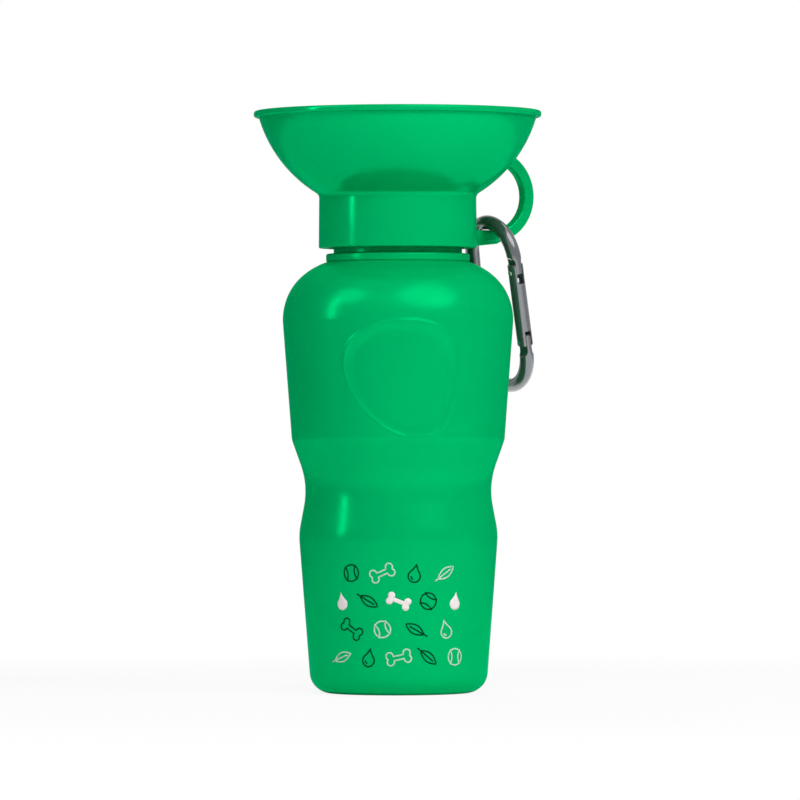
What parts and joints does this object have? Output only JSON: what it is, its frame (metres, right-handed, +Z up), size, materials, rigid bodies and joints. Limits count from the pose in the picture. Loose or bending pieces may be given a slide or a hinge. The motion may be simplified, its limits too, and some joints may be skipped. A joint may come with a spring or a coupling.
{
  "type": "dog travel water bottle",
  "caption": "Squeeze bottle for walks with a dog: a flared drinking bowl on a turning valve, screwed on a waisted bottle, with a loop and a spring clip.",
  "frame": {"origin": "on the floor, in the middle of the bottle's foot", "axes": "+Z up along the bottle's axis; the front, with the print, faces -Y; the loop and the clip are on the +X side, towards +Y"},
  "size_m": [0.1098, 0.1098, 0.222],
  "materials": {
    "bottle_plastic": "smooth, soft polyethylene",
    "bowl_plastic": "smooth, moulded",
    "cap_plastic": "natural, slightly cloudy",
    "tube_plastic": "natural, slightly clear",
    "seal_rubber": "soft silicone, pale",
    "o_ring_rubber": "soft, black",
    "clip_metal": "dark grey, anodised, satin",
    "small_steel": "drawn wire and pins"
  },
  "bodies": {
    "bottle": {"bottle_shell": "bottle_plastic"},
    "tube": {"tube_holder": "tube_plastic", "dip_tube": "tube_plastic"},
    "seal": {"neck_gasket": "seal_rubber"},
    "cap": {"screw_cap": "cap_plastic", "stem_o_ring_lower": "o_ring_rubber", "stem_o_ring_upper": "o_ring_rubber"},
    "bowl": {"bowl_top": "bowl_plastic"},
    "clip": {"carabiner_body": "clip_metal", "gate_rivet": "small_steel"},
    "gate": {"carabiner_gate": "clip_metal", "gate_spring": "small_steel", "gate_plunger": "small_steel", "nose_pin": "small_steel"}
  },
  "joints": [
    {"name": "top_lift_off", "type": "slide", "parent": "bottle", "child": "tube", "axis": [0, 0, 1], "range_m": [0, 0.185]},
    {"name": "cap_rise", "type": "slide", "parent": "tube", "child": "seal", "axis": [0, 0, 1], "range_m": [0, 0.00501]},
    {"name": "cap_unscrew", "type": "hinge", "parent": "seal", "child": "cap", "pos_m": [0, 0, 0.18], "axis": [0, 0, 1], "range_deg": [0, 450]},
    {"name": "bowl_twist", "type": "hinge", "parent": "cap", "child": "bowl", "pos_m": [0, 0, 0.19], "axis": [0, 0, 1], "range_deg": [0, 90]},
    {"name": "carabiner_swing", "type": "hinge", "parent": "bowl", "child": "clip", "pos_m": [0.03408, 0.01812, 0.18002], "axis": [0.5592, -0.829, 0], "range_deg": [0, 90]},
    {"name": "gate_open", "type": "hinge", "parent": "clip", "child": "gate", "pos_m": [0.04523, 0.01004, 0.16077], "axis": [0.8052, 0.5431, 0.2382], "range_deg": [0, 28], "stiffness_Nm_per_rad": 0.06, "springref_deg": -20.05}
  ],
  "couplings": [
    {"joint": "cap_rise", "follows": "cap_unscrew", "m_per_rad": 0.00063662}
  ]
}
